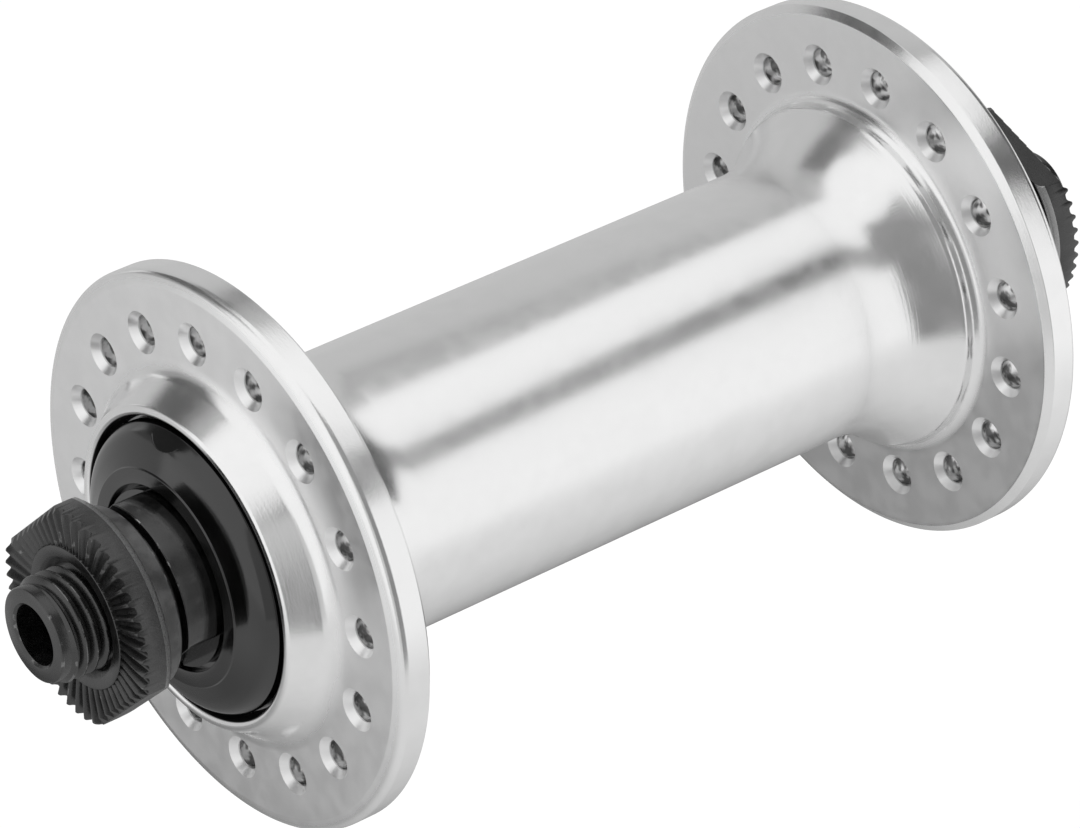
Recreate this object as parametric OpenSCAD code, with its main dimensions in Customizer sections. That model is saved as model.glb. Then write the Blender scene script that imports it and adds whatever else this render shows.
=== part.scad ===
// Quick-release front hub for a bicycle, with cup-and-cone bearings.
// The hub's axis lies along Y, with the origin at its centre. The right end is at -Y, the left end at +Y.
// Every piece is drawn along Z, where z is its distance outwards from the hub's centre, and then turned
// to face its own end. All lengths are in millimetres and all angles in degrees.

/* [Overall] */
// Distance between the faces of the two locknuts, which is the width that the fork holds
over_locknuts = 100; // [98:0.5:108]
// How far the hollow axle stands out of each locknut
axle_standout = 4; // [3:0.25:8]

/* [Shell] */
// Distance from the middle of a flange to the face of the locknut at its end
flange_setback = 15.6; // [14.5:0.1:19]
// Outer diameter of each flange
flange_diameter = 48.5; // [45:0.5:54]
// Thickness of each flange
flange_thickness = 3.27; // [2.8:0.05:4]
// Outer diameter of the barrel between the flanges
barrel_diameter = 24.6; // [23:0.2:26]
// Bore of the barrel
barrel_bore = 19.6; // [18:0.2:20.4]
// Radius of the curve that flares the barrel out towards a flange
flare_radius = 12; // [10:0.5:14]
// Width that the flare takes up along the axis
flare_width = 8.2; // [6:0.2:9]
// Width between the flare and the inner face of the flange, where the root fillet is
root_width = 1.55; // [1.2:0.05:2]
// Depth of the turned line where the flare ends
flare_line = 0.12; // [0.05:0.01:0.2]
// Height of the collar round the shell's mouth, above the flange's outer face
collar_height = 3.35; // [2.8:0.05:4]
// Outer diameter of the collar at its lip
collar_lip_diameter = 27.9; // [27.4:0.1:30]
// Slope of the collar's side, from the flange's face
collar_slope = 59; // [50:1:75]
// Fillet where the collar stands on the flange
collar_fillet = 2; // [1:0.1:2.6]
// How far the shell is turned at rest, clockwise from the top as seen from its right end
shell_turn = -3; // [-22:0.5:22]

/* [Spoke holes] */
// Number of spoke holes in each flange
spoke_holes = 16; // [10:1:20]
// Diameter of the circle on which the spoke holes lie
spoke_circle = 38; // [37:0.2:40]
// Diameter of a spoke hole
spoke_hole = 2.5; // [2.2:0.1:3]
// Diameter of the countersink at each end of a spoke hole
countersink = 3.7; // [3.2:0.1:4.2]
// Depth of each countersink
countersink_depth = 0.65; // [0.4:0.05:1]

/* [Bearings] */
// Diameter of a bearing ball
ball_diameter = 4.7625; // [4.5:0.0125:4.8]
// Number of balls in each bearing
ball_count = 10; // [9:1:11]
// Space between one ball and the next
ball_gap = 0.18; // [0.1:0.02:0.3]
// How far the balls lie outboard of the flange's middle
ball_offset = 0.3; // [0:0.1:0.6]
// Running clearance between a ball and its races
race_clearance = 0.02; // [0.01:0.005:0.05]
// Angle that each race wraps round the balls, from the plane of the balls
race_wrap = 72; // [60:1:76]
// Wall of the bearing cup outside the balls
cup_wall = 1.1; // [0.8:0.05:1.2]
// How far the cup reaches outboard of the balls' middle
cup_reach = 1.9; // [1.4:0.1:2.2]
// Width of the ledge in the shell's mouth, outside the cup
mouth_ledge = 1.62; // [1.3:0.02:1.8]
// Thickness of the dust cap's pressed steel
cap_thickness = 0.6; // [0.4:0.05:0.7]
// Diameter of the hole in the dust cap, which the cone runs through
cap_hole = 16.8; // [16.4:0.1:18]
// Gap between the balls and the dust cap
cap_gap = 0.2; // [0.1:0.05:0.3]

/* [Axle] */
// Outer diameter of the axle's thread
axle_diameter = 9; // [8.8:0.1:9.4]
// Pitch of the axle's thread
thread_pitch = 1; // [0.8:0.05:1.1]
// Bore of the axle, for a quick-release skewer
axle_bore = 5.2; // [5:0.1:5.6]
// Length of the plain nose at each end of the axle, past the thread
nose_length = 0.9; // [0.4:0.1:1.4]
// Clearance between an engaged thread and the thread that it turns in
thread_clearance = 0.02; // [0.01:0.005:0.05]

/* [Locknuts] */
// Outer diameter of a locknut
locknut_diameter = 19.1; // [18:0.1:20]
// Thickness of a locknut, up to its plain inner face
locknut_thickness = 2.85; // [2.4:0.05:3.4]
// Width across the two flats of a locknut
locknut_flats = 16.5; // [15.5:0.1:17.5]
// Diameter of the plain inner face of a locknut, inside its teeth
locknut_face = 12.3; // [11:0.1:13]
// Width of the chamfer at the mouth of a locknut's thread
locknut_chamfer = 0.7; // [0.4:0.05:0.9]
// Number of teeth on a locknut's outer face
teeth = 48; // [36:1:54]
// Height of the teeth at the rim, above the plain inner face
tooth_rise = 0.25; // [0.1:0.05:0.4]
// Depth of the gaps between the teeth at the rim
tooth_depth = 0.5; // [0.2:0.05:0.6]
// Depth of the same gaps where they start, at the plain inner face
tooth_start = 0.17; // [0.1:0.01:0.25]
// How far the right locknut's flats are turned, clockwise as seen from that end
right_locknut_turn = -41; // [-90:1:90]
// How far the left locknut's flats are turned, clockwise as seen from that end
left_locknut_turn = -24; // [-90:1:90]

/* [Washers] */
// How far the thick washer between a locknut and its cone stands out past the cone, all round
washer_step = 0.1; // [-0.3:0.05:0.5]
// Thickness of the washer
washer_thickness = 2.15; // [1.8:0.05:2.5]

/* [Cones] */
// Outer diameter of a cone where its dust cover sits
cone_diameter = 15.2; // [15:0.05:15.4]
// Width across a cone's two wrench flats
cone_flats = 13; // [12:0.1:14]
// How far the cone steps in to the neck at its outer end, against the washer
neck_step = 1; // [0.5:0.05:1.5]
// Length of that neck
neck_length = 0.6; // [0.3:0.05:0.9]
// How far the cone reaches inboard of the balls' middle
cone_nose = 2.4; // [1:0.1:3]
// How far the right cone's flats are turned, clockwise as seen from that end
right_cone_turn = -44; // [-90:1:90]
// How far the left cone's flats are turned, clockwise as seen from that end
left_cone_turn = -30; // [-90:1:90]

/* [Dust covers] */
// Gap all round between a dust cover and the shell's mouth
cover_gap = 0.46; // [0.3:0.02:0.8]
// How far the cover's face stands out of the shell's lip
cover_height = 1.94; // [1.6:0.02:2.2]
// Thickness of the cover
cover_thickness = 0.9; // [0.6:0.05:1]
// Depth of the cover's rim inside the shell's mouth
cover_rim = 1; // [0.6:0.1:1.2]
// Diameter of the raised flat in the middle of the cover's face
cover_flat = 19; // [18:0.1:20]
// Height of the small step round that flat
cover_step = 0.15; // [0.05:0.01:0.25]
// Gap between the cone and the mouth of the cover's hole
cover_hole_gap = 0.25; // [0.1:0.01:0.4]
// Wall of the sleeve with which the cover grips the cone
sleeve_wall = 1; // [0.7:0.05:1.1]
// Gap between that sleeve and the dust cap
sleeve_gap = 0.55; // [0.3:0.05:0.8]
// Width of the pry notch in the cover's rim
notch_width = 4; // [3:0.1:5]
// How far the pry notch reaches in from the rim
notch_reach = 1.75; // [1.2:0.05:1.9]
// Depth of the pry notch, square to the cover's surface
notch_depth = 0.6; // [0.3:0.05:0.7]
// How far the pry notch in the right cover's rim is turned, clockwise as seen from that end
right_notch_turn = -1; // [-180:1:180]
// How far the pry notch in the left cover's rim is turned, clockwise as seen from that end
left_notch_turn = 20; // [-180:1:180]

/* [Hidden] */
$fn = 96;
SIDES = ["right", "left"];
BALL_NODES = [for (side = SIDES, i = [1 : ball_count]) str(side, "_ball_", i)];
SIDE_PARTS = ["bearing_cup", "dust_cap", "cone", "dust_cover", "washer", "locknut"];
SIDE_NODES = [for (side = SIDES, part = SIDE_PARTS) str(side, "_", part)];

ALUMINIUM = [0.78, 0.78, 0.79];
BLACK_STEEL = [0.20, 0.20, 0.21];
BLACK_PLASTIC = [0.10, 0.10, 0.11];
BRIGHT_STEEL = [0.62, 0.63, 0.65];

// A hair's breadth, so that a cutter reaches past the face that it cuts
past = 0.01;
// Clearance of a pressed fit, which is drawn just free
press = 0.02;
// Small chamfer on turned edges, and a finer one
edge = 0.2;
fine_edge = 0.1;

// Places along the axis, as distances outwards from the hub's centre
locknut_outer = over_locknuts / 2;
flange_mid = locknut_outer - flange_setback;
flange_inner = flange_mid - flange_thickness / 2;
flange_outer = flange_mid + flange_thickness / 2;
lip = flange_outer + collar_height;
ball_plane = flange_mid + ball_offset;
locknut_inner = locknut_outer - locknut_thickness;
cone_outer = locknut_inner - washer_thickness;
flats_outer = cone_outer - neck_length;
cover_face = lip + cover_height;
axle_end = locknut_outer + axle_standout;

// The balls' circle, and the races round it
ball_radius = ball_diameter / 2;
ball_circle = (ball_diameter + ball_gap) / 2 / sin(180 / ball_count);
race_radius = ball_radius + race_clearance;
race_reach = race_radius * sin(race_wrap);
cup_radius = ball_circle + race_radius + cup_wall;
cup_outer = ball_plane + cup_reach;
cup_inner = ball_plane - race_reach - cup_wall;
seat_radius = cup_radius + press;

// The shell's mouth, the dust cap in it and the cover over it
mouth_radius = cup_radius + mouth_ledge;
cover_radius = mouth_radius - cover_gap;
cap_floor = ball_plane + ball_radius + cap_gap;
cap_top = cap_floor + cap_thickness;
sleeve_inner = cap_top + sleeve_gap;

// An engaged thread is drawn at its pitch diameter, and a free one at its outer diameter
engaged_radius = axle_diameter / 2 - 0.325 * thread_pitch;
thread_bore = engaged_radius + thread_clearance;
thread_start = locknut_outer - edge;
thread_end = axle_end - nose_length;

// Points on an arc in the plane of a revolved profile, where a point is [radius, z]
function arc(centre, r, from, to, steps) =
    [for (i = [0 : steps]) let (a = from + (to - from) * i / steps) centre + r * [cos(a), sin(a)]];

// The same profile with its order reversed and z turned to -z
function mirrored(points) =
    [for (i = [len(points) - 1 : -1 : 0]) [points[i][0], -points[i][1]]];

// Turns a piece drawn outwards along Z to its own end of the hub, with Y up
module facing(side) {
    rotate([90, 0, side == "left" ? 180 : 0]) children();
}

// Turns a piece clockwise, as seen from outside
module turned(angle) {
    rotate([0, 0, -angle]) children();
}

// One value for the right side and another for the left
function by_side(side, right, left) = side == "right" ? right : left;

// The flare, the fillet at its root and the fillet at the collar's foot
flare_centre = [barrel_diameter / 2 + flare_radius, flange_inner - root_width - flare_width];
flare_turn = asin(flare_width / flare_radius);
flare_end = flare_centre + flare_radius * [-cos(flare_turn), sin(flare_turn)];
root_fillet = root_width - 2 * flare_line;
root_centre = [flare_end[0] + root_fillet, flange_inner - root_fillet];
collar_lip = collar_lip_diameter / 2;
collar_foot = collar_lip + collar_height / tan(collar_slope);
fillet_centre = [collar_foot + collar_fillet * tan(collar_slope / 2), flange_outer + collar_fillet];

// The rim of a flange: a crisp bevel on its inner side and a soft one, in two steps, on its outer side
function flange_rim() = let (r = flange_diameter / 2) [
    [r - 0.65, flange_inner],
    [r, flange_inner + 0.8],
    [r, flange_outer - 0.7],
    [r - 0.25, flange_outer - 0.3],
    [r - 1.2, flange_outer],
];

// Outer outline of half the shell, from its middle out to the lip
function shell_outline() = concat(
    [[barrel_diameter / 2, 0]],
    arc(flare_centre, flare_radius, 180, 180 - flare_turn, 14),
    [flare_end + flare_line * [-1, 0.5]],
    arc(root_centre, root_fillet, 180, 90, 8),
    flange_rim(),
    arc(fillet_centre, collar_fillet, 270, 270 - collar_slope, 8),
    [
        [collar_lip + edge / tan(collar_slope), lip - edge],
        [collar_lip - edge, lip],
        [mouth_radius + fine_edge, lip],
        [mouth_radius, lip - fine_edge],
    ]
);

// Inner outline of the same half, from the shell's mouth in to its middle
function shell_bore() = [
    [mouth_radius, cup_outer],
    [seat_radius, cup_outer],
    [seat_radius, cup_inner],
    [barrel_bore / 2, cup_inner],
    [barrel_bore / 2, 0],
];

// A spoke hole with a countersink at each end, about its own axis. Each countersink's cone runs on past the
// flange's face by its own depth, so that it is the right width at the face.
module spoke_hole_cutter() {
    end = flange_thickness / 2 + countersink_depth;
    neck = flange_thickness / 2 - countersink_depth;
    hole_r = spoke_hole / 2;
    wide_r = countersink - hole_r;
    rotate_extrude()
        polygon([
            [0, -end],
            [wide_r, -end],
            [hole_r, -neck],
            [hole_r, neck],
            [wide_r, end],
            [0, end],
        ]);
}

module spoke_hole_ring(start, z) {
    for (i = [0 : spoke_holes - 1])
        turned(start + i * 360 / spoke_holes)
            translate([0, spoke_circle / 2, z])
                spoke_hole_cutter();
}

// The shell, turned from one forging: its two ends are alike, and the left flange's holes lie midway
// between those of the right one
module hub_shell() {
    outline = shell_outline();
    bore = shell_bore();
    color(ALUMINIUM)
        facing("right")
            difference() {
                rotate_extrude()
                    polygon(concat(outline, bore, mirrored(bore), mirrored(outline)));
                spoke_hole_ring(shell_turn, flange_mid);
                spoke_hole_ring(shell_turn + 180 / spoke_holes, -flange_mid);
            }
}

// Hollow axle: an even blank with a rolled thread standing proud of it at each end
module axle() {
    thread = axle_diameter / 2;
    bore = axle_bore / 2;
    nose = engaged_radius - fine_edge;
    half = [
        [engaged_radius, thread_start - thread + engaged_radius],
        [thread, thread_start],
        [thread, thread_end],
        [nose, thread_end + thread - nose],
        [nose, axle_end - edge],
        [nose - edge, axle_end],
        [bore + edge, axle_end],
        [bore, axle_end - edge],
    ];
    color(BLACK_STEEL)
        facing("right")
            rotate_extrude()
                polygon(concat(half, mirrored(half)));
}

// Hardened race pressed into the shell, with its curved track facing outwards
module bearing_cup(side) {
    track = ball_circle + race_radius;
    inner = ball_circle + race_radius * cos(race_wrap);
    color(BRIGHT_STEEL)
        facing(side)
            rotate_extrude()
                polygon(concat(
                    [
                        [cup_radius - edge, cup_outer],
                        [track + edge, cup_outer],
                        [track, cup_outer - edge],
                    ],
                    arc([ball_circle, ball_plane], race_radius, 0, -race_wrap, 12),
                    [
                        [inner, cup_inner + edge],
                        [inner + edge, cup_inner],
                        [cup_radius - edge, cup_inner],
                        [cup_radius, cup_inner + edge],
                        [cup_radius, cup_outer - edge],
                    ]
                ));
}

// Pressed steel ring in the shell's mouth that keeps the balls in their cup
module dust_cap(side) {
    outer = mouth_radius - press;
    bend = cap_thickness / 2;
    hole = cap_hole / 2;
    color(BRIGHT_STEEL)
        facing(side)
            rotate_extrude()
                polygon([
                    [outer, cup_outer],
                    [outer, cap_top - bend],
                    [outer - bend, cap_top],
                    [hole, cap_top],
                    [hole, cap_floor],
                    [outer - cap_thickness, cap_floor],
                    [outer - cap_thickness, cup_outer],
                ]);
}

// One ball, at its place on the balls' circle
module ball(side, i) {
    color(BRIGHT_STEEL)
        facing(side)
            turned((i - 0.5) * 360 / ball_count)
                translate([0, ball_circle, ball_plane])
                    sphere(r = ball_radius);
}

// Two flats across a round piece, cut from one z to another
module flats_cutter(width, across, from, to) {
    for (end = [-1, 1])
        translate([-width / 2, end > 0 ? across / 2 : -across / 2 - width, from])
            cube([width, width, to - from]);
}

// Cone on the axle's thread: its track faces inwards, and its outer end has two flats for a thin wrench
module cone(side) {
    r = cone_diameter / 2;
    neck = r - neck_step;
    track = ball_circle - race_radius;
    color(BLACK_STEEL)
        facing(side)
            turned(by_side(side, right_cone_turn, left_cone_turn))
                difference() {
                    rotate_extrude()
                        polygon(concat(
                            [
                                [thread_bore, ball_plane - cone_nose],
                                [track - edge, ball_plane - cone_nose],
                                [track, ball_plane - cone_nose + edge],
                            ],
                            arc([ball_circle, ball_plane], race_radius, 180, 180 - race_wrap, 12),
                            [
                                [r - edge, ball_plane + race_reach],
                                [r, ball_plane + race_reach + edge],
                                [r, flats_outer - edge],
                                [r - edge, flats_outer],
                                [neck, flats_outer],
                                [neck, cone_outer],
                                [thread_bore, cone_outer],
                            ]
                        ));
                    flats_cutter(cone_diameter, cone_flats, cover_face, flats_outer + past);
                }
}

// The cover's face, from its flat down a small step and over the dome to the rim
function cover_dome() =
    let (from = cover_flat / 2, to = cover_radius - edge, bulge = 0.28)
    let (top = cover_face - cover_step, drop = top - lip - edge)
    [for (i = [0 : 8]) let (t = i / 8)
        [from + (to - from) * t, top - drop * ((1 - bulge) * t + bulge * t * t)]];

// Black cover pressed on the cone: a domed disc with a raised flat, a sleeve and a deep rim
module dust_cover(side) {
    grip = cone_diameter / 2 + press;
    hole = cone_diameter / 2 + cover_hole_gap;
    sleeve = cone_diameter / 2 + sleeve_wall;
    flat = cover_flat / 2;
    inside = cover_face - cover_step - cover_thickness;
    rim_inside = cover_radius - cover_thickness;
    color(BLACK_PLASTIC)
        facing(side)
            difference() {
                rotate_extrude()
                    polygon(concat(
                        [
                            [grip, sleeve_inner],
                            [grip, cover_face - cover_thickness],
                            [hole, cover_face - cover_thickness + fine_edge],
                            [hole, cover_face - fine_edge],
                            [hole + fine_edge, cover_face],
                            [flat - cover_step, cover_face],
                        ],
                        cover_dome(),
                        [
                            [cover_radius, lip],
                            [cover_radius, lip - cover_rim],
                            [rim_inside, lip - cover_rim],
                            [rim_inside, lip - fine_edge],
                            [flat, inside],
                            [sleeve, inside],
                            [sleeve, sleeve_inner],
                        ]
                    ));
                turned(by_side(side, right_notch_turn, left_notch_turn))
                    pry_notch();
            }
}

// Half-moon notch in the cover's rim, where a screwdriver lifts the cover. Its floor follows the dome.
module pry_notch() {
    slope = atan((cover_height - cover_step - edge) / (cover_radius - edge - cover_flat / 2));
    translate([0, cover_radius - notch_reach, lip + notch_reach * tan(slope)])
        rotate([-slope, 0, 0])
            translate([0, notch_width / 2, -notch_depth])
                cylinder(d = notch_width, h = notch_width);
}

// Thick washer between the cone and the locknut
module washer(side) {
    r = cone_diameter / 2 + washer_step;
    color(BLACK_STEEL)
        facing(side)
            rotate_extrude()
                polygon([
                    [thread_bore, cone_outer],
                    [r - edge, cone_outer],
                    [r, cone_outer + edge],
                    [r, locknut_inner - edge],
                    [r - edge, locknut_inner],
                    [thread_bore, locknut_inner],
                ]);
}

// The gap between two teeth: a slanting groove with one steep side, deepest at the rim
module tooth_gap() {
    inner = locknut_face / 2;
    length = locknut_diameter / 2 - inner;
    slope = atan((tooth_depth - tooth_rise - tooth_start) / length);
    width = PI * locknut_diameter / teeth;
    steep_side = width / 4;
    long_side = width - steep_side;
    translate([0, inner, locknut_outer - tooth_start])
        rotate([-slope, 0, 0])
            rotate([-90, 0, 0])
                linear_extrude(height = length + tooth_depth)
                    polygon([
                        [0, 0],
                        [steep_side, -tooth_depth],
                        [steep_side, -2 * tooth_depth],
                        [-long_side, -2 * tooth_depth],
                        [-long_side, -tooth_depth],
                    ]);
}

// Round locknut with two flats, a chamfered back and a toothed ring that bites into the fork
module locknut(side) {
    r = locknut_diameter / 2;
    face = locknut_face / 2;
    mouth = axle_diameter / 2 + locknut_chamfer;
    tooth_top = locknut_outer + tooth_rise;
    color(BLACK_STEEL)
        facing(side)
            turned(by_side(side, right_locknut_turn, left_locknut_turn))
                difference() {
                    rotate_extrude()
                        polygon([
                            [thread_bore, locknut_inner],
                            [r - 0.45, locknut_inner],
                            [r, locknut_inner + 0.75],
                            [r, tooth_top - fine_edge],
                            [r - fine_edge, tooth_top],
                            [face, locknut_outer],
                            [mouth, locknut_outer],
                            [thread_bore, locknut_outer - mouth + thread_bore],
                        ]);
                    flats_cutter(locknut_diameter, locknut_flats, locknut_inner - past, tooth_top + past);
                    for (i = [0 : teeth - 1])
                        turned(i * 360 / teeth) tooth_gap();
                }
}

hub_shell();
axle();
for (side = SIDES) {
    bearing_cup(side);
    dust_cap(side);
    cone(side);
    dust_cover(side);
    washer(side);
    locknut(side);
    for (i = [1 : ball_count])
        ball(side, i);
}
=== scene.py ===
import math

import bmesh
import bpy
from mathutils import Matrix, Vector


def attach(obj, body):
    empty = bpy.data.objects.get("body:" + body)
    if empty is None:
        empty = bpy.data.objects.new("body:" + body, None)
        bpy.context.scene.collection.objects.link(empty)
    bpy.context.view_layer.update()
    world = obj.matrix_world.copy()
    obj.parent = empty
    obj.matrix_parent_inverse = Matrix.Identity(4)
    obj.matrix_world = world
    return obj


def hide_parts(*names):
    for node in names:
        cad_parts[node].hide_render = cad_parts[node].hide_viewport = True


# A front hub for a bicycle wheel. Its axis lies along Y: the right end is at -Y and the left end at +Y.
# Every piece is drawn in millimetres about its own Z axis, where z is the distance outwards from the hub's
# centre, and is then turned to face its end and made metres.
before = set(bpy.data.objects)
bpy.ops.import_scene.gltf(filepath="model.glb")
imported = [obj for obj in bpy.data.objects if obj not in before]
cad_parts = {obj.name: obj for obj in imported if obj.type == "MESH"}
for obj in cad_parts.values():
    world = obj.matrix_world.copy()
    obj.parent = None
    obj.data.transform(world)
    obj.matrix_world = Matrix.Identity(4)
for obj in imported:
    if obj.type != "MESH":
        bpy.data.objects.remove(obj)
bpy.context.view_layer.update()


# The camera looks down on the right end from the front, with a long lens. An azimuth is counted from -Y
# towards +X, and an elevation upwards from the horizon.
def direction(azimuth, elevation):
    around, up = math.radians(azimuth), math.radians(elevation)
    return Vector((math.sin(around) * math.cos(up), -math.cos(around) * math.cos(up), math.sin(up)))


aim = Vector((-0.00094, -0.00201, -0.00082))
view_direction = direction(52.73, 29.84)
view_distance = 0.4676
view_roll = math.radians(-3.086)
camera = bpy.data.objects.new("camera", bpy.data.cameras.new("camera"))
camera.data.sensor_width = 36
camera.data.lens = 185.95
camera.data.clip_start = 0.01
camera.matrix_world = (
    Matrix.Translation(aim + view_distance * view_direction)
    @ view_direction.to_track_quat("Z", "Y").to_matrix().to_4x4()
    @ Matrix.Rotation(view_roll, 4, "Z")
)
bpy.context.scene.collection.objects.link(camera)
bpy.context.scene.camera = camera
bpy.context.scene.view_settings.view_transform = "Standard"


# The studio is a white room with grey flags between its soft boxes. Metal mirrors the flags, which the
# camera and the soft light don't see.
def add_node(tree, kind, inputs=None, **settings):
    """Adds a node. Each input is given by its name or number, as a value or as the socket that feeds it."""
    node = tree.nodes.new(kind)
    for name, value in settings.items():
        setattr(node, name, value)
    for name, value in (inputs or {}).items():
        if isinstance(value, bpy.types.NodeSocket):
            tree.links.new(value, node.inputs[name])
        else:
            node.inputs[name].default_value = value
    return node


def maths(tree, operation, *values):
    """The result of a Math node on these values."""
    return add_node(tree, "ShaderNodeMath", dict(enumerate(values)), operation=operation).outputs[0]


def map_range(tree, value, low, high, to_low, to_high):
    """The value, moved smoothly from one range to another and kept within it."""
    inputs = {"Value": value, "From Min": low, "From Max": high, "To Min": to_low, "To Max": to_high}
    return add_node(tree, "ShaderNodeMapRange", inputs, interpolation_type="SMOOTHSTEP").outputs[0]


def new_material(name):
    """An empty node-based material, with its tree and its output node."""
    material = bpy.data.materials.new(name)
    material.use_nodes = True
    tree = material.node_tree
    tree.nodes.clear()
    return material, tree, tree.nodes.new("ShaderNodeOutputMaterial")


def new_object(name, bm):
    """An object made from a bmesh, which is used up."""
    mesh = bpy.data.meshes.new(name)
    bm.to_mesh(mesh)
    bm.free()
    made = bpy.data.objects.new(name, mesh)
    bpy.context.scene.collection.objects.link(made)
    return made


# The room shows white to the camera and in mirrors, and lights the hub more weakly
room_light = 0.45
world = bpy.data.worlds.new("white_room")
world.use_nodes = True
bpy.context.scene.world = world
rays = world.node_tree.nodes.new("ShaderNodeLightPath").outputs
mirrored_rays = maths(world.node_tree, "MAXIMUM", rays["Is Glossy Ray"], rays["Is Transmission Ray"])
seen_rays = maths(world.node_tree, "MAXIMUM", rays["Is Camera Ray"], mirrored_rays)
room_strength = maths(world.node_tree, "MULTIPLY_ADD", seen_rays, 1 - room_light, room_light)
background = world.node_tree.nodes["Background"]
background.inputs["Color"].default_value = (1, 1, 1, 1)
world.node_tree.links.new(room_strength, background.inputs["Strength"])

# Each flag: its azimuths, its elevations and how bright it is
flags = {
    "left_wall": ((-170, -37), (-26, 9), 0.58),
    "left_wall_high": ((-170, -74), (9, 45), 0.57),
    "left_top_wall": ((-166, -122), (45, 66), 0.46),
    "left_top_flag": ((-122, -60), (45, 66), 0.2),
    "front_left_flag": ((-74, -34), (20, 49), 0.12),
    "front_left_foot": ((-68, -32), (9, 20), 0.34),
    "front_left_top": ((-60, -26), (49, 60), 0.38),
    "right_flag": ((50, 94), (-28, 30), 0.27),
    "right_edge": ((34, 52), (-20, 30), 0.6),
    "right_top_flag": ((38, 112), (30, 62), 0.3),
    "back_strip": ((112, 142), (32, 46), 0.36),
    "back_flag": ((138, 200), (9, 43), 0.13),
}
flag_distance = 0.2
flag_steps = 12
for name, (azimuths, elevations, brightness) in flags.items():
    material, tree, output = new_material(name)
    emission = add_node(tree, "ShaderNodeEmission", {"Color": (brightness, brightness, brightness, 1)})
    tree.links.new(emission.outputs[0], output.inputs["Surface"])
    bm = bmesh.new()
    rows = []
    for i in range(flag_steps + 1):
        azimuth = azimuths[0] + (azimuths[1] - azimuths[0]) * i / flag_steps
        row = []
        for j in range(flag_steps + 1):
            elevation = elevations[0] + (elevations[1] - elevations[0]) * j / flag_steps
            row.append(bm.verts.new(flag_distance * direction(azimuth, elevation)))
        rows.append(row)
    for row, next_row in zip(rows, rows[1:]):
        for j in range(flag_steps):
            bm.faces.new((row[j], row[j + 1], next_row[j + 1], next_row[j]))
    flag = new_object(name, bm)
    flag.data.materials.append(material)
    flag.visible_camera = False
    flag.visible_diffuse = False
    flag.visible_shadow = False


# The floor is a round pale table under the hub. It shows white where nothing shades it. Metal mirrors it
# with a painted shadow: brighter away from the hub, and a painted shade to the lower left that ends in a
# sharp edge.
def vector_maths(tree, operation, *vectors):
    """The outputs of a Vector Math node on these vectors: Vector and Value."""
    return add_node(tree, "ShaderNodeVectorMath", dict(enumerate(vectors)), operation=operation).outputs


def mix_shaders(tree, share, first, second):
    """The first shader where the share is 0, and the second where it is 1."""
    return add_node(tree, "ShaderNodeMixShader", {0: share, 1: first, 2: second}).outputs[0]


floor_depth = 0.085
floor_radius = 0.6
floor_material, tree, output = new_material("pale_floor")
place = tree.nodes.new("ShaderNodeTexCoord").outputs["Object"]
across = add_node(tree, "ShaderNodeSeparateXYZ", {0: place}).outputs
middle = (-0.03, -0.06, -floor_depth)
away = vector_maths(tree, "DISTANCE", place, middle)["Value"]
# A painted shadow, seen only in mirrors: brighter away from the hub, darker to the lower left, with a sharp
# left edge
open_floor = map_range(tree, away, 0.14, 0.33, 0.75, 1)
towards_left = map_range(tree, across["X"], -0.11, 0.07, 0.6, 0)
towards_back = map_range(tree, across["Y"], -0.16, -0.08, 0, 1)
left_edge = map_range(tree, across["X"], -0.122, -0.106, 0.3, 1)
shade = maths(tree, "MULTIPLY", maths(tree, "MULTIPLY", towards_left, towards_back), left_edge)
painted_shadow_strength = maths(tree, "SUBTRACT", open_floor, shade)
mirrored_floor = add_node(tree, "ShaderNodeEmission", {"Strength": painted_shadow_strength})
shaded_floor = add_node(tree, "ShaderNodeBsdfDiffuse", {"Color": (0.35, 0.35, 0.35, 1)})
glow = add_node(tree, "ShaderNodeEmission", {"Strength": 0.77})
lit_floor = add_node(tree, "ShaderNodeAddShader", {0: shaded_floor.outputs[0], 1: glow.outputs[0]})
plain_floor = add_node(tree, "ShaderNodeBsdfDiffuse", {"Color": (0.8, 0.8, 0.8, 1)})
rays = tree.nodes.new("ShaderNodeLightPath").outputs
for_camera = mix_shaders(tree, rays["Is Camera Ray"], plain_floor.outputs[0], lit_floor.outputs[0])
for_metal = mix_shaders(tree, rays["Is Glossy Ray"], for_camera, mirrored_floor.outputs[0])
tree.links.new(for_metal, output.inputs["Surface"])
bm = bmesh.new()
bmesh.ops.create_circle(bm, cap_ends=True, segments=96, radius=floor_radius)
floor = new_object("floor", bm)
floor.data.transform(Matrix.Translation((0, 0, -floor_depth)))
floor.data.materials.append(floor_material)


# Two large soft lamps stand round the hub: one overhead, and one that fills from the right. They light its
# grain and its black parts softly, and metal doesn't mirror them.
def soft_lamp(name, azimuth, elevation, distance, size, power):
    """A square area lamp that shines at the hub, and isn't mirrored."""
    lamp = bpy.data.objects.new(name, bpy.data.lights.new(name, "AREA"))
    lamp.data.shape = "SQUARE"
    lamp.data.size = size
    lamp.data.energy = power
    toward = direction(azimuth, elevation)
    lamp.matrix_world = (
        Matrix.Translation(distance * toward) @ toward.to_track_quat("Z", "Y").to_matrix().to_4x4()
    )
    lamp.visible_glossy = False
    bpy.context.scene.collection.objects.link(lamp)


soft_lamp("overhead_lamp", 20, 78, 0.9, 0.7, 3.6)
soft_lamp("side_lamp", 110, 15, 1.1, 0.6, 1.2)


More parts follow.
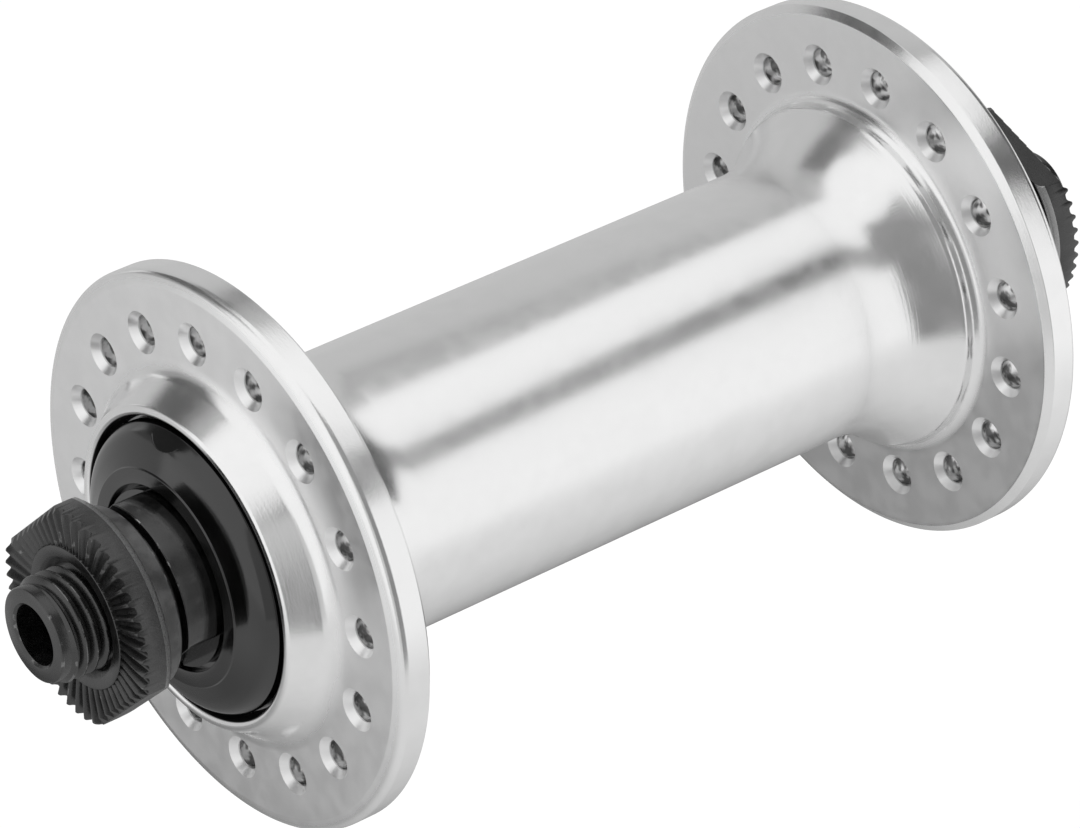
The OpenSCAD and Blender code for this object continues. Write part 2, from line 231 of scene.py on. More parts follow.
# The shell is one aluminium forging, turned all over and blasted to an even satin. Sixteen spoke holes are
# drilled through each flange and countersunk from both sides.
def rounded(corners):
    """The closed outline through these corners, each (z, radius, rounding). Gives its points and, for each,
    whether the stretch after it lies on the rounding of an outward corner."""
    around = list(zip(corners[-1:] + corners[:-1], corners, corners[1:] + corners[:1]))
    winding = sum(here[0] * after[1] - here[1] * after[0] for _, here, after in around)
    points, worn = [], []
    # A rounding is a weighted curve between its two ends, which follows a circle exactly
    for before, here, after in around:
        corner = Vector(here[:2])
        rounding = here[2] if len(here) > 2 else 0
        inward = (Vector(before[:2]) - corner).normalized()
        onward = (Vector(after[:2]) - corner).normalized()
        turn = math.pi - inward.angle(onward)
        outward = winding * (onward.x * inward.y - onward.y * inward.x) > 0
        reach = rounding * math.tan(turn / 2)
        steps = math.ceil(math.degrees(turn) / 14 * max(1, math.sqrt(rounding))) if rounding else 0
        for i in range(steps + 1):
            t = i / max(steps, 1)
            weights = (1 - t) ** 2, 2 * t * (1 - t) * math.cos(turn / 2), t * t
            places = corner + reach * inward, corner, corner + reach * onward
            points.append(sum((w * p for w, p in zip(weights, places)), Vector((0, 0))) / sum(weights))
            worn.append(outward and i < steps)
    return points, worn


def turned(corners, steps=160, rubbing=0.25):
    """A solid turned about Z from a closed outline. Its rounded outward corners are marked as rubbed."""
    outline, worn = rounded(corners)
    bm = bmesh.new()
    wear = bm.faces.layers.float.new("worn")
    angles = [math.tau * i / steps for i in range(steps)]
    rings = [[bm.verts.new((r * math.sin(a), r * math.cos(a), z)) for a in angles] for z, r in outline]
    for ring, next_ring, mark in zip(rings, rings[1:] + rings[:1], worn):
        for i in range(steps):
            face = bm.faces.new((ring[i - 1], ring[i], next_ring[i], next_ring[i - 1]))
            face[wear] = rubbing * mark
    bmesh.ops.remove_doubles(bm, verts=bm.verts, dist=1e-5)
    on_axis = [edge for edge in bm.edges if not edge.link_faces]
    bmesh.ops.delete(bm, geom=on_axis, context="EDGES")
    bmesh.ops.recalc_face_normals(bm, faces=bm.faces)
    return bm


def both_ends(corners):
    """The corners of one end, followed by the same corners at the other end."""
    return corners + [(-corner[0], *corner[1:]) for corner in reversed(corners)]


def work_in_modifiers(piece):
    """Makes the piece the plain mesh that its modifiers give."""
    graph = bpy.context.evaluated_depsgraph_get()
    mesh = bpy.data.meshes.new_from_object(piece.evaluated_get(graph))
    piece.modifiers.clear()
    piece.data = mesh


def node_modifier(piece, tree, values):
    """Puts a node tree on the piece, with its inputs given by name."""
    modifier = piece.modifiers.new(tree.name, "NODES")
    modifier.node_group = tree
    for item in tree.interface.items_tree:
        if item.in_out == "INPUT" and item.name in values:
            modifier[item.identifier] = values[item.name]


def new_tree(name, kind, inputs, outputs):
    """A node group with these sockets, each a name and a type. Gives it with its input and output nodes."""
    tree = bpy.data.node_groups.new(name, kind)
    for socket, socket_type in inputs.items():
        tree.interface.new_socket(socket, in_out="INPUT", socket_type="NodeSocket" + socket_type)
    for socket, socket_type in outputs.items():
        tree.interface.new_socket(socket, in_out="OUTPUT", socket_type="NodeSocket" + socket_type)
    return tree, tree.nodes.new("NodeGroupInput").outputs, tree.nodes.new("NodeGroupOutput").inputs


def ring_of_instances(tree, instance, count, start):
    """Instances turned about Z in equal steps, clockwise from a start angle in radians."""
    points = add_node(tree, "GeometryNodePoints", {"Count": count})
    step = maths(tree, "DIVIDE", -math.tau, count)
    index = tree.nodes.new("GeometryNodeInputIndex").outputs[0]
    turn = add_node(tree, "ShaderNodeCombineXYZ", {"Z": maths(tree, "MULTIPLY_ADD", index, step, start)})
    inputs = {"Points": points.outputs[0], "Instance": instance, "Rotation": turn.outputs[0]}
    return add_node(tree, "GeometryNodeInstanceOnPoints", inputs).outputs[0]


def painted(tree, geometry, material):
    """The real geometry behind any instances, all in one material."""
    realized = add_node(tree, "GeometryNodeRealizeInstances", {"Geometry": geometry}).outputs[0]
    inputs = {"Geometry": realized, "Material": material}
    return add_node(tree, "GeometryNodeSetMaterial", inputs).outputs[0]


def ring_of_cuts_tree():
    """Cuts equal cutters out of a piece. They stand in a ring about Z, clockwise from the top."""
    tree, given, result = new_tree(
        "ring_of_cuts",
        "GeometryNodeTree",
        {
            "Piece": "Geometry",
            "Cutter": "Object",
            "Count": "Int",
            "Radius": "Float",
            "Height": "Float",
            "Start": "Float",
            "Material": "Material",
        },
        {"Piece": "Geometry"},
    )
    cutter = add_node(tree, "GeometryNodeObjectInfo", {"Object": given["Cutter"]}).outputs["Geometry"]
    start = maths(tree, "MULTIPLY", given["Start"], -math.pi / 180)
    ring = ring_of_instances(tree, cutter, given["Count"], start)
    shift = add_node(tree, "ShaderNodeCombineXYZ", {"Y": given["Radius"], "Z": given["Height"]})
    inputs = {"Instances": ring, "Translation": shift.outputs[0], "Local Space": True}
    moved = add_node(tree, "GeometryNodeTranslateInstances", inputs)
    cut = add_node(tree, "GeometryNodeMeshBoolean", {"Mesh 1": given["Piece"], "Mesh 2": moved.outputs[0]})
    tree.links.new(painted(tree, cut.outputs["Mesh"], given["Material"]), result["Piece"])
    return tree


def turning_marks_group():
    """The fine rings that a lathe tool leaves round Y, as a height from 0 to 1, and the distance from Y."""
    tree, given, result = new_tree(
        "turning_marks",
        "ShaderNodeTree",
        {"Vector": "Vector", "Pitch": "Float"},
        {"Height": "Float", "Radius": "Float"},
    )
    place = add_node(tree, "ShaderNodeSeparateXYZ", {0: given["Vector"]})
    flat = add_node(tree, "ShaderNodeCombineXYZ", {"X": place.outputs["X"], "Y": place.outputs["Z"]})
    radius = vector_maths(tree, "LENGTH", flat.outputs[0])["Value"]
    turn = maths(tree, "DIVIDE", place.outputs["X"], radius)
    lines = add_node(
        tree,
        "ShaderNodeCombineXYZ",
        {
            "X": maths(tree, "DIVIDE", radius, given["Pitch"]),
            "Y": maths(tree, "DIVIDE", place.outputs["Y"], given["Pitch"]),
            "Z": maths(tree, "MULTIPLY", turn, 3),
        },
    )
    noise = add_node(
        tree, "ShaderNodeTexNoise", {"Vector": lines.outputs[0], "Scale": 1, "Detail": 3, "Roughness": 0.6}
    )
    tree.links.new(noise.outputs[0], result["Height"])
    tree.links.new(radius, result["Radius"])
    return tree


def grain_group():
    """Fine even grain, as left by blasting, casting or plating, as a height from 0 to 1."""
    tree, given, result = new_tree(
        "grain",
        "ShaderNodeTree",
        {"Vector": "Vector", "Size": "Float"},
        {"Height": "Float", "Patches": "Float"},
    )
    fine = maths(tree, "DIVIDE", 1, given["Size"])
    noise = add_node(
        tree, "ShaderNodeTexNoise", {"Vector": given["Vector"], "Scale": fine, "Detail": 2, "Roughness": 0.7}
    )
    broad = maths(tree, "DIVIDE", fine, 14)
    patches = add_node(tree, "ShaderNodeTexNoise", {"Vector": given["Vector"], "Scale": broad, "Detail": 3})
    tree.links.new(noise.outputs[0], result["Height"])
    tree.links.new(patches.outputs[0], result["Patches"])
    return tree


ring_of_cuts = ring_of_cuts_tree()
turning_marks = turning_marks_group()
grain = grain_group()


def add_group(tree, group, inputs):
    """Places a shader node group and gives its outputs."""
    return add_node(tree, "ShaderNodeGroup", inputs, node_tree=group).outputs


def bump(tree, height, depth, normal=None):
    """The normal that a height of this depth in metres gives, on top of another one."""
    inputs = {"Height": height, "Distance": depth, "Strength": 1}
    if normal:
        inputs["Normal"] = normal
    return add_node(tree, "ShaderNodeBump", inputs).outputs[0]


def shade_with(tree, output, inputs):
    """Ends a finish with a Principled shader that has these inputs."""
    surface = add_node(tree, "ShaderNodeBsdfPrincipled", inputs)
    tree.links.new(surface.outputs[0], output.inputs["Surface"])


barrel_radius = 12.3
barrel_end = 27.754
flare_radius = 15.54
flare_end = 31.3
flange_radius = 24.25
flange_mid = 34.4
flange_half = 3.27 / 2
flange_inner = flange_mid - flange_half
flange_outer = flange_mid + flange_half
lip = flange_outer + 3.35
lip_radius = 13.95
mouth_radius = 13.118
mouth_floor = 36.6
cup_seat_radius = 11.518
cup_seat_floor = 31.316
core_radius = 9.8
hole_count = 16
hole_circle = 19.0
hole_radius = 1.25
sink_radius = 1.85
sink_depth = 0.65


def satin_aluminium():
    """Blasted on the barrel, turned on the flares and collars, and rough from the drill in the holes."""
    material, tree, output = new_material("satin_aluminium")
    # A finish works on the finished mesh, so its lengths are in metres
    place = tree.nodes.new("ShaderNodeTexCoord").outputs["Object"]
    along = add_node(tree, "ShaderNodeSeparateXYZ", {0: place}).outputs["Y"]
    out = maths(tree, "ABSOLUTE", along)
    blast = add_group(tree, grain, {"Vector": place, "Size": 0.00016})
    marks = add_group(tree, turning_marks, {"Vector": place, "Pitch": 0.0002})

    # The holes note their own place, in millimetres. A countersink starts where the bore ends.
    hole_place = add_node(tree, "ShaderNodeAttribute", attribute_name="hole_place").outputs["Vector"]
    drilled = maths(tree, "GREATER_THAN", vector_maths(tree, "LENGTH", hole_place)["Value"], 0.1)
    round_hole = vector_maths(tree, "MULTIPLY", hole_place, (1, 1, 1.6))["Vector"]
    chatter = add_node(tree, "ShaderNodeTexNoise", {"Vector": round_hole, "Scale": 0.9, "Detail": 2})
    along_hole = add_node(tree, "ShaderNodeSeparateXYZ", {0: hole_place}).outputs["Z"]
    depth_in_hole = maths(tree, "ABSOLUTE", along_hole)
    in_sink = maths(tree, "GREATER_THAN", depth_in_hole, flange_half - sink_depth - 0.05)
    in_bore = maths(tree, "SUBTRACT", drilled, in_sink)

    # The relief: grain all over, lathe marks past the barrel that are finer on the flanges, and drill marks
    turned_part = map_range(tree, out, 0.0245, 0.0275, 0, 1)
    blasted = bump(tree, blast["Height"], 5e-6)
    finer_ends = map_range(tree, out, 0.0306, 0.0312, 1, 0.4)
    lathe_depth = maths(tree, "MULTIPLY", marks["Height"], maths(tree, "MULTIPLY", turned_part, finer_ends))
    lined = bump(tree, lathe_depth, 9e-6, blasted)
    chattered = maths(tree, "MULTIPLY", chatter.outputs[0], drilled)
    normal = bump(tree, chattered, 4e-5, lined)

    # Duller faces and brighter rims on the flanges, darker holes, and painted shade in the shell's mouth
    satin = map_range(tree, blast["Patches"], 0.35, 0.65, 0.2, 0.25)
    duller_flange = map_range(tree, marks["Radius"], 0.0155, 0.0172, -0.03, 0.14)
    bright_rim = map_range(tree, marks["Radius"], 0.0232, 0.0238, 0, -0.16)
    uneven = maths(tree, "ADD", duller_flange, bright_rim)
    clean_roughness = maths(tree, "MULTIPLY_ADD", uneven, turned_part, satin)
    streaks = map_range(tree, chatter.outputs[0], 0.4, 0.6, 0, 0.7)
    plain_shade = map_range(tree, blast["Patches"], 0.3, 0.7, 0.86, 0.89)
    # The countersinks are coloured darker, and the bores darker in streaks
    darker_sink = maths(tree, "MULTIPLY_ADD", in_sink, -0.25, plain_shade)
    drilled_shade = maths(tree, "SUBTRACT", darker_sink, maths(tree, "MULTIPLY", in_bore, streaks))
    # The mouth's wall, in the gap round the cover, is painted dark as shade and made rougher
    in_mouth = map_range(tree, marks["Radius"], 0.01318, 0.01328, 1, 0)
    painted_mouth_shade = maths(tree, "MULTIPLY", in_mouth, map_range(tree, out, 0.036, 0.0365, 0, 1))
    colour = maths(tree, "MULTIPLY_ADD", painted_mouth_shade, -0.85, drilled_shade)
    roughness = maths(tree, "MULTIPLY_ADD", painted_mouth_shade, 0.5, clean_roughness)
    inputs = {"Metallic": 1, "Base Color": colour, "Roughness": roughness, "Normal": normal}
    shade_with(tree, output, inputs)
    return material


millimetres = Matrix.Scale(0.001, 4)
# A drawn piece looks along Z with its top at Y. These turn it to look outwards at its end, with its top up.
facing = {
    "right": Matrix(((1, 0, 0), (0, 0, -1), (0, 1, 0))).to_4x4(),
    "left": Matrix(((-1, 0, 0), (0, 0, 1), (0, 1, 0))).to_4x4(),
}


def place_piece(piece, side, turn, body, node, finish):
    """Turns a drawn piece clockwise, faces it outwards at its end, gives it its finish and body, and hides
    the CAD part of that node."""
    clockwise = Matrix.Rotation(math.radians(-turn), 4, "Z")
    mesh = piece.data
    mesh.transform(millimetres @ facing[side] @ clockwise)
    mesh.materials.clear()
    mesh.materials.append(finish)
    mesh.polygons.foreach_set("material_index", [0] * len(mesh.polygons))
    mesh.shade_smooth()
    mesh.set_sharp_from_angle(angle=math.radians(35))
    weighted = piece.modifiers.new("even_normals", "WEIGHTED_NORMAL")
    weighted.keep_sharp = True
    weighted.weight = 100
    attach(piece, body)
    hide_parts(node)


shell_corners = [
    (barrel_end, barrel_radius, 11.4),
    (flare_end, flare_radius, 0.9),
    (flange_inner, flare_radius, 1.1),
    (flange_inner, flange_radius - 0.67, 0.07),
    (flange_inner + 0.53, flange_radius, 0.08),
    (flange_outer - 0.7, flange_radius, 0.7),
    (flange_outer - 0.25, flange_radius - 0.28, 0.7),
    (flange_outer, flange_radius - 1.2, 0.5),
    (flange_outer, flare_radius + 0.42, 2),
    (lip, lip_radius, 0.42),
    (lip, mouth_radius, 0.4),
    (mouth_floor, mouth_radius),
    (mouth_floor, cup_seat_radius, 0.1),
    (cup_seat_floor, cup_seat_radius),
    (cup_seat_floor, core_radius, 0.1),
]
shell = new_object("turned_shell", turned(both_ends(shell_corners), steps=192))
# The drill reaches past both faces of the flange, where its countersinks go on widening
past_face = 0.4
sink_slope = (sink_radius - hole_radius) / sink_depth
drill_end = flange_half + past_face
drill_corners = [
    (drill_end, 0),
    (drill_end, sink_radius + past_face * sink_slope),
    (flange_half - sink_depth, hole_radius, 0.25),
]
drill_bm = turned(both_ends(drill_corners), steps=40)
# What it cuts keeps its own place in the hole, for the finish
hole_place = drill_bm.loops.layers.float_vector.new("hole_place")
for face in drill_bm.faces:
    for loop in face.loops:
        loop[hole_place] = loop.vert.co
drill = new_object("drill", drill_bm)
shell_finish = satin_aluminium()
# The holes of one flange stand half a step from those of the other
for height, start in ((flange_mid, -3.0), (-flange_mid, -3.0 + 180 / hole_count)):
    node_modifier(
        shell,
        ring_of_cuts,
        {
            "Cutter": drill,
            "Count": hole_count,
            "Radius": hole_circle,
            "Height": height,
            "Start": start,
            "Material": shell_finish,
        },
    )
work_in_modifiers(shell)
bpy.data.objects.remove(drill)
place_piece(shell, "right", 0, "shell", "hub_shell", shell_finish)


# The bearing cups are hardened steel races, ground bright and pressed into the shell. The balls run in
# them, and a pressed steel cap in the shell's mouth keeps the balls in.
def bright_steel(name, brightness, roughness, depth):
    """Steel with fine lathe or grinding rings."""
    material, tree, output = new_material(name)
    place = tree.nodes.new("ShaderNodeTexCoord").outputs["Object"]
    marks = add_group(tree, turning_marks, {"Vector": place, "Pitch": 0.00018})
    fine = add_group(tree, grain, {"Vector": place, "Size": 0.0002})
    shade = map_range(tree, fine["Patches"], 0.3, 0.7, 0.85 * brightness, brightness)
    rough = map_range(tree, marks["Height"], 0.3, 0.7, roughness, roughness + 0.1)
    normal = bump(tree, marks["Height"], depth)
    inputs = {"Metallic": 1, "Base Color": shade, "Roughness": rough, "Normal": normal}
    shade_with(tree, output, inputs)
    return material


race_steel = bright_steel("race_steel", 0.63, 0.16, 1.5e-6)
cap_steel = bright_steel("pressed_steel", 0.56, 0.28, 3e-6)
ball_steel = bright_steel("ball_steel", 0.71, 0.06, 2e-7)
ball_count = 10
# These pieces keep the shape of the solids and only get a finish
for side in ("right", "left"):
    finishes = {f"{side}_bearing_cup": race_steel, f"{side}_dust_cap": cap_steel}
    finishes.update({f"{side}_ball_{i}": ball_steel for i in range(1, ball_count + 1)})
    for node, finish in finishes.items():
        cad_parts[node].data.materials[0] = finish


# The axle is a hollow steel blank with a rolled thread at each end and a plain chamfered nose. It is
# blackened, and the crests of the thread are rubbed bright.
def rubbed_edges_group():
    """A mask of a piece's rubbed edges. A face marked 1 is rubbed all over, and less is rubbed in spots."""
    tree, given, result = new_tree(
        "rubbed_edges", "ShaderNodeTree", {"Vector": "Vector", "Size": "Float"}, {"Mask": "Float"}
    )
    edges = add_node(tree, "ShaderNodeAttribute", attribute_name="worn").outputs["Fac"]
    size = maths(tree, "DIVIDE", 1, given["Size"])
    noise = add_node(tree, "ShaderNodeTexNoise", {"Vector": given["Vector"], "Scale": size, "Detail": 4})
    spots = map_range(tree, noise.outputs[0], 0.3, 0.7, 0.02, 0.85)
    tree.links.new(map_range(tree, maths(tree, "SUBTRACT", edges, spots), 0, 0.15, 0, 1), result["Mask"])
    return tree


rubbed_edges = rubbed_edges_group()


def black_steel(name, shade, bare, roughness, depth):
    """Blackened steel: mottled, with fine lathe rings, and rubbed towards bare metal along its edges."""
    material, tree, output = new_material(name)
    place = tree.nodes.new("ShaderNodeTexCoord").outputs["Object"]
    marks = add_group(tree, turning_marks, {"Vector": place, "Pitch": 0.0002})
    fine = add_group(tree, grain, {"Vector": place, "Size": 0.0001})
    mottle = map_range(tree, fine["Patches"], 0.3, 0.7, 0.3 * shade, 2 * shade)
    mask = add_group(tree, rubbed_edges, {"Vector": place, "Size": 0.0012})["Mask"]
    colour = maths(tree, "MULTIPLY_ADD", mask, bare, mottle)
    rough = map_range(tree, fine["Height"], 0.3, 0.7, roughness - 0.05, roughness + 0.08)
    grained = bump(tree, fine["Height"], depth)
    inputs = {
        "Base Color": colour,
        "Metallic": maths(tree, "MULTIPLY", mask, 0.8),
        "Roughness": rough,
        "IOR": 1.75,
        "Normal": bump(tree, marks["Height"], depth, grained),
    }
    shade_with(tree, output, inputs)
    return material


def threaded_half(steps=120):
    """Half of the axle, from the hub's middle out to the nose, with its thread cut as one helix."""
    blank = 4.175
    crest = 4.5
    root = 3.92
    pitch = 1.0
    start = 48.6
    end = 53.1
    nose = 4.075
    tip = 54.0
    bore = 2.6
    edge = 0.2
    run_out = 0.9
    # Across one turn of the thread: the share of the pitch, the share of the height, and where it is rubbed
    profile = [
        (0.0, 0.0, 0),
        (0.12, 0.0, 0),
        (0.40, 0.88, 0),
        (0.46, 0.98, 0.4),
        (0.53, 1.0, 0.4),
        (0.60, 0.98, 0),
        (0.66, 0.88, 0),
        (0.94, 0.0, 0),
    ]
    bm = bmesh.new()
    wear = bm.faces.layers.float.new("worn")
    angles = [math.tau * i / steps for i in range(steps + 1)]

    def vertex(angle, radius, z):
        return bm.verts.new((radius * math.sin(angle), radius * math.cos(angle), z))

    rows = [([vertex(a, blank, 0) for a in angles], 0)]
    for turn in range(-1, round((end - start) / pitch) + 2):
        for share, height, mark in profile:
            row = []
            for angle in angles:
                z = start + pitch * (turn + share - angle / math.tau)
                radius = root + (crest - root) * height
                if z <= start:
                    row.append(vertex(angle, blank, start))
                elif z >= end:
                    row.append(vertex(angle, nose, end))
                else:
                    row.append(vertex(angle, min(radius, nose + run_out * (end - z)), z))
            rows.append((row, mark))
    for z, radius, mark in (
        (end, nose, 0),
        (tip - edge, nose, 0.32),
        (tip - edge / 3, nose - edge / 3, 0.32),
        (tip, nose - edge, 0),
        (tip, bore + edge, 0.2),
        (tip - edge, bore, 0),
        (0, bore, 0),
    ):
        rows.append(([vertex(a, radius, z) for a in angles], mark))
    for (row, mark), (next_row, _) in zip(rows, rows[1:]):
        for i in range(steps):
            face = bm.faces.new((row[i], row[i + 1], next_row[i + 1], next_row[i]))
            face[wear] = mark
    return bm


# The other half is the same one turned end for end, so both threads are right-handed
axle_bm = threaded_half()
half = axle_bm.verts[:] + axle_bm.edges[:] + axle_bm.faces[:]
copied = bmesh.ops.duplicate(axle_bm, geom=half)["geom"]
other_half = [item for item in copied if isinstance(item, bmesh.types.BMVert)]
bmesh.ops.rotate(axle_bm, verts=other_half, matrix=Matrix.Rotation(math.pi, 3, "Y"))
bmesh.ops.remove_doubles(axle_bm, verts=axle_bm.verts, dist=1e-4)
bmesh.ops.dissolve_degenerate(axle_bm, edges=axle_bm.edges, dist=1e-4)
bmesh.ops.recalc_face_normals(axle_bm, faces=axle_bm.faces)
axle = new_object("threaded_axle", axle_bm)
axle_steel = black_steel("black_axle_steel", 0.005, 0.2, 0.26, 3e-6)
place_piece(axle, "right", 0, "axle_set", "axle", axle_steel)


# Each cone is turned from steel, hardened and blackened. Its track faces the balls, and two flats on its
# outer end take a thin wrench.
def cut_out(piece, cutter):
    """Cuts a solid out of a piece, and removes the solid."""
    modifier = piece.modifiers.new("cut", "BOOLEAN")
    modifier.object = cutter
    modifier.solver = "EXACT"
    work_in_modifiers(piece)
    bpy.data.objects.remove(cutter)


def soften_edges(piece, width, rubbing):
    """Rounds every sharp edge a little and marks how much the rounding is rubbed."""
    bm = bmesh.new()
    bm.from_mesh(piece.data)
    wear = bm.faces.layers.float["worn"]
    sharp = [e for e in bm.edges if e.is_manifold and e.calc_face_angle() > math.radians(38)]
    made = bmesh.ops.bevel(
        bm, geom=sharp, offset=width, segments=2, profile=0.5, affect="EDGES", clamp_overlap=True
    )
    for face in made["faces"]:
        face[wear] = rubbing
    bm.to_mesh(piece.data)
    bm.free()


def flats_cutter(across, low, high, chamfer):
    """Two blocks that leave a piece this far across, from one z to another, and chamfer its outer end."""
    half = across / 2
    past = half + 10
    profile = [(half, low), (half, high - chamfer), (half - chamfer, high), (past, high), (past, low)]
    bm = bmesh.new()
    for end in (-1, 1):
        near, far = ([bm.verts.new((x, end * y, z)) for y, z in profile] for x in (-15, 15))
        bm.faces.new(near)
        bm.faces.new(far)
        for i in range(len(profile)):
            bm.faces.new((near[i - 1], near[i], far[i], far[i - 1]))
    bmesh.ops.recalc_face_normals(bm, faces=bm.faces)
    return new_object("flats_cutter", bm)


cone_steel = black_steel("black_cone_steel", 0.004, 0.3, 0.1, 1e-6)
thread_bore = 4.195
ball_plane = 34.7
track_radius = 5.6
cone_radius = 7.6
cone_start = 32.3
cone_end = 45.0
neck_radius = 6.6
neck_start = 44.4
cone_across = 13
flats_foot = 41.33
cone_corners = [
    (cone_start, thread_bore),
    (cone_start, track_radius, 0.15),
    (ball_plane, track_radius),
    (36.2, 6.2),
    (36.98, 7.26),
    (37.2, cone_radius, 0.1),
    (neck_start, cone_radius, 0.12),
    (neck_start, neck_radius, 0.05),
    (cone_end, neck_radius),
    (cone_end, thread_bore),
]
for side, turn in (("right", -44), ("left", -30)):
    cone = new_object(f"{side}_cone_turned", turned(cone_corners, steps=128))
    cut_out(cone, flats_cutter(cone_across, flats_foot, neck_start + 0.05, 0.1))
    soften_edges(cone, 0.12, 0.7)
    place_piece(cone, side, turn, "axle_set", f"{side}_cone", cone_steel)


# Each dust cover is moulded in glossy black plastic and pressed on its cone. It has a raised flat, a domed
# face, and a notch in its rim where a screwdriver lifts it.
def gloss_black():
    """Smooth moulded plastic with fine handling marks."""
    material, tree, output = new_material("gloss_black_cover")
    place = tree.nodes.new("ShaderNodeTexCoord").outputs["Object"]
    fine = add_group(tree, grain, {"Vector": place, "Size": 0.0004})
    marks = add_group(tree, turning_marks, {"Vector": place, "Pitch": 0.0006})
    colour = map_range(tree, fine["Patches"], 0.3, 0.7, 0.003, 0.006)
    rough = map_range(tree, fine["Patches"], 0.35, 0.7, 0.1, 0.2)
    dimples = add_group(tree, grain, {"Vector": place, "Size": 0.00016})
    waved = bump(tree, fine["Patches"], 6e-6)
    dimpled = bump(tree, dimples["Height"], 2e-6, waved)
    normal = bump(tree, marks["Height"], 1.5e-6, dimpled)
    inputs = {"Base Color": colour, "Roughness": rough, "Normal": normal, "IOR": 1.7}
    shade_with(tree, output, inputs)
    return material


cover_plastic = gloss_black()
cover_face = 41.325
cover_radius = 12.658
rim_inside = cover_radius - 0.9
flat_radius = 9.42
cover_hole = 8.05
grip_radius = cone_radius + 0.02
grip_outside = 8.6
grip_start = 37.93
cover_inside = 40.27
cover_corners = [
    (grip_start, grip_radius),
    (40.43, grip_radius),
    (40.5, cover_hole),
    (cover_face, cover_hole, 0.08),
    (cover_face, flat_radius, 0.1),
    (cover_face - 0.15, flat_radius + 0.08, 0.03),
    (40.645, 11.1, 6),
    (40.165, 12.0, 1.8),
    (39.25, cover_radius, 0.35),
    (lip - 1, cover_radius, 0.1),
    (lip - 1, rim_inside),
    (lip - 0.1, rim_inside),
    (cover_inside, 9.5),
    (cover_inside, grip_outside),
    (grip_start, grip_outside),
]
# A round cutter, tilted to the slope of the rim, leaves the notch
notch_radius = 2.3
notch_corners = [(0, 0), (0, notch_radius, 0.1), (4, notch_radius), (4, 0)]
notch_tilt = Matrix.Rotation(math.radians(-39.5), 4, "X")
notch_place = (
    Matrix.Translation((0, 11.35, 40.5)) @ notch_tilt @ Matrix.Translation((0, notch_radius, -0.05))
)
for side, turn in (("right", -1), ("left", 20)):
    cover = new_object(f"{side}_moulded_cover", turned(cover_corners, steps=160))
    notch = new_object("notch_cutter", turned(notch_corners, steps=64))
    notch.data.transform(notch_place)
    cut_out(cover, notch)
    place_piece(cover, side, turn, "axle_set", f"{side}_dust_cover", cover_plastic)


# A thick washer lies between each cone and its locknut. It is turned from steel and blackened, and its edges
# are rounded.
washer_steel = black_steel("black_washer_steel", 0.03, 0.25, 0.32, 2.5e-6)
washer_radius = 7.7
washer_end = 47.15
washer_corners = [
    (cone_end, thread_bore),
    (cone_end, washer_radius, 0.2),
    (washer_end, washer_radius, 0.2),
    (washer_end, thread_bore),
]
for side in ("right", "left"):
    washer = new_object(f"{side}_thick_washer", turned(washer_corners, steps=128))
    place_piece(washer, side, 0, "axle_set", f"{side}_washer", washer_steel)


# The locknuts clamp the fork. Each is a round blackened steel nut with two flats, a chamfered back and a
# ring of slanting teeth that bite into the fork's end.
def repeat_round_tree():
    """Repeats one sector round Z until it closes, and joins the sectors."""
    tree, given, result = new_tree(
        "repeat_round",
        "GeometryNodeTree",
        {"Sector": "Geometry", "Count": "Int", "Material": "Material"},
        {"Piece": "Geometry"},
    )
    ring = ring_of_instances(tree, given["Sector"], given["Count"], 0)
    sectors = painted(tree, ring, given["Material"])
    joined = add_node(tree, "GeometryNodeMergeByDistance", {"Geometry": sectors, "Distance": 2e-4})
    tree.links.new(joined.outputs[0], result["Piece"])
    return tree


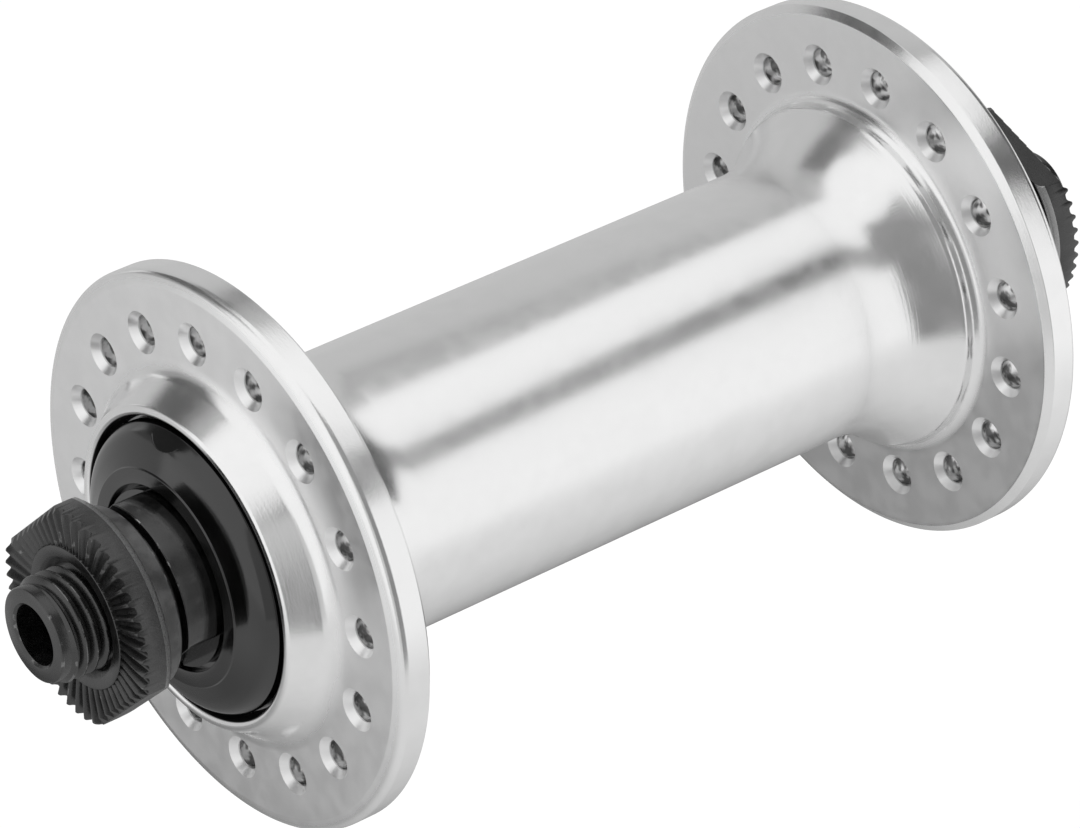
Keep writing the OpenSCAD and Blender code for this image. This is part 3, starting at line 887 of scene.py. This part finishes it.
def tooth_sector(count):
    """One tooth of the locknut, with the slice of the nut below it. The steep flank rises clockwise from the
    valley, and the long one falls away behind the crest."""
    inner = 6.15
    outer = 9.55
    face = 50.0
    valley = face - 0.44
    back = washer_end
    # Across one tooth: the share of the pitch, the share of the height, and where it is rubbed
    across = [
        (0.0, 0.0, 0),
        (0.06, 0.06, 0),
        (0.14, 0.42, 0),
        (0.22, 0.84, 0),
        (0.29, 0.98, 0.1),
        (0.36, 1.0, 0.1),
        (0.43, 0.9, 0.1),
        (0.51, 0.66, 0),
        (0.60, 0.34, 0),
        (0.70, 0.1, 0),
        (0.80, 0.0, 0),
        (1.0, 0.0, 0),
    ]
    # Round the slice: its bore and back, its tooth from the outer end inwards, and the flat ring inside. A
    # place on the tooth is a radius, and how far the crest drops there.
    bore_and_back = [
        (thread_bore, 49.0),
        (thread_bore, back),
        (9.0, back),
        (9.2, back + 0.08),
        (9.4, back + 0.32),
        (9.5, back + 0.74),
        (outer, back + 0.82),
    ]
    ridge = [(outer, 0.34), (9.5, 0.14), (9.38, 0.04), (8.6, 0), (7.8, 0), (7.0, 0), (inner + 0.05, 0)]
    flat_ring = [(inner, face - 0.05), (inner - 0.05, face), (5.25, face), (5.1, face - 0.07)]
    # The walls that are rubbed, counted round the slice
    back_edge_walls = (4, 5)
    tooth_walls = range(8, 14)
    bm = bmesh.new()
    wear = bm.faces.layers.float.new("worn")
    columns = []
    for share, height, _ in across:
        angle = math.tau * share / count
        tooth = []
        for radius, drop in ridge:
            crest = face + 0.25 * (radius - inner) / (outer - inner) - drop
            tooth.append((radius, valley + height * (crest - valley)))
        column = bore_and_back + tooth + flat_ring
        columns.append([bm.verts.new((r * math.sin(angle), r * math.cos(angle), z)) for r, z in column])
    for column, next_column, (_, _, mark) in zip(columns, columns[1:], across):
        for i in range(len(column)):
            wall = bm.faces.new((column[i - 1], column[i], next_column[i], next_column[i - 1]))
            if i in tooth_walls:
                wall[wear] = mark
            elif i in back_edge_walls:
                wall[wear] = 1
    bmesh.ops.recalc_face_normals(bm, faces=bm.faces)
    return new_object("tooth_sector", bm)


repeat_round = repeat_round_tree()
nut_steel = black_steel("black_nut_steel", 0.006, 0.36, 0.3, 3e-6)
tooth_count = 48
locknut_across = 16.7
flats_top = 50.5
for side, turn in (("right", -41), ("left", -24)):
    locknut = tooth_sector(tooth_count)
    locknut.name = f"{side}_toothed_locknut"
    node_modifier(locknut, repeat_round, {"Count": tooth_count, "Material": nut_steel})
    work_in_modifiers(locknut)
    cut_out(locknut, flats_cutter(locknut_across, washer_end - 0.15, flats_top, 0.92))
    place_piece(locknut, side, turn, "axle_set", f"{side}_locknut", nut_steel)
